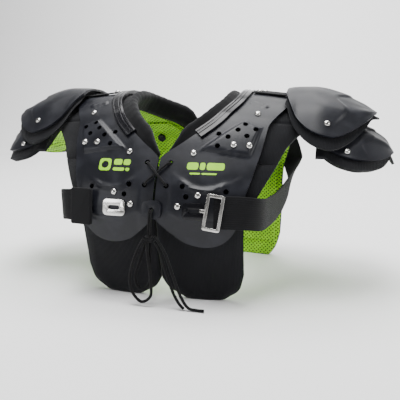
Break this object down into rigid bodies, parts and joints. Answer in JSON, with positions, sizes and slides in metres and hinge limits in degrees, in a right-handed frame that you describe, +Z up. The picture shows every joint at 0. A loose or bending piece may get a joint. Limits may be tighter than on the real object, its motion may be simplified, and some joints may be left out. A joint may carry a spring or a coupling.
{
  "type": "football shoulder pads",
  "caption": "Youth football shoulder pads: two black plastic shells with domed shoulder caps, body pads, side straps and a chest lace.",
  "frame": {"origin": "on the ground under the middle of the pads, without the free lace", "axes": "+Z up, -Y the way the wearer faces, +X the wearer's left"},
  "size_m": [0.5306, 0.2782, 0.2515],
  "materials": {
    "plastic": "satin pebbled black plastic",
    "fabric": "matt black ribbed fabric over foam",
    "mesh": "lime green perforated mesh",
    "trim": "glossy black edge trim",
    "webbing": "black webbing",
    "chrome": "bright nickel plate",
    "lace": "black round cord"
  },
  "bodies": {
    "root": {"shell_l": "plastic", "shell_r": "plastic", "upper_cap_l": "plastic", "upper_cap_r": "plastic", "lower_cap_l": "plastic", "lower_cap_r": "plastic", "lining_snap_l": "plastic", "lining_snap_r": "plastic", "front_pad_l": "fabric", "front_pad_r": "fabric", "back_pad_l": "fabric", "back_pad_r": "fabric", "shoulder_pad_l": "fabric", "shoulder_pad_r": "fabric", "neck_roll_l": "fabric", "neck_roll_r": "fabric", "upper_cap_pad_l": "fabric", "upper_cap_pad_r": "fabric", "lower_cap_pad_l": "fabric", "lower_cap_pad_r": "fabric", "back_lining_l": "mesh", "back_lining_r": "mesh", "neck_trim_l": "trim", "neck_trim_r": "trim", "cap_band_l": "webbing", "cap_band_r": "webbing", "rivet_top_l": "chrome", "rivet_top_r": "chrome", "rivet_vent_side_l": "chrome", "rivet_vent_side_r": "chrome", "rivet_vent_middle_l": "chrome", "rivet_vent_middle_r": "chrome", "rivet_neck_l": "chrome", "rivet_neck_r": "chrome", "rivet_chest_l": "chrome", "rivet_chest_r": "chrome", "rivet_buckle_l": "chrome", "rivet_buckle_r": "chrome", "rivet_upper_cap_l": "chrome", "rivet_upper_cap_r": "chrome", "rivet_lower_cap_l": "chrome", "rivet_lower_cap_r": "chrome", "chest_plate_l": "plastic", "chest_plate_r": "chrome", "buckle_ring": "chrome", "strap_fold": "webbing", "strap_l": "webbing", "strap_r": "webbing", "lace_tab": "fabric", "lace_stem": "lace", "lace_knot": "lace", "lace_front": "lace", "lace_back": "lace", "lace_loop_outer": "lace", "lace_loop_inner": "lace", "lace_tail_short": "lace", "lace_tail_long": "lace"}
  },
  "joints": []
}
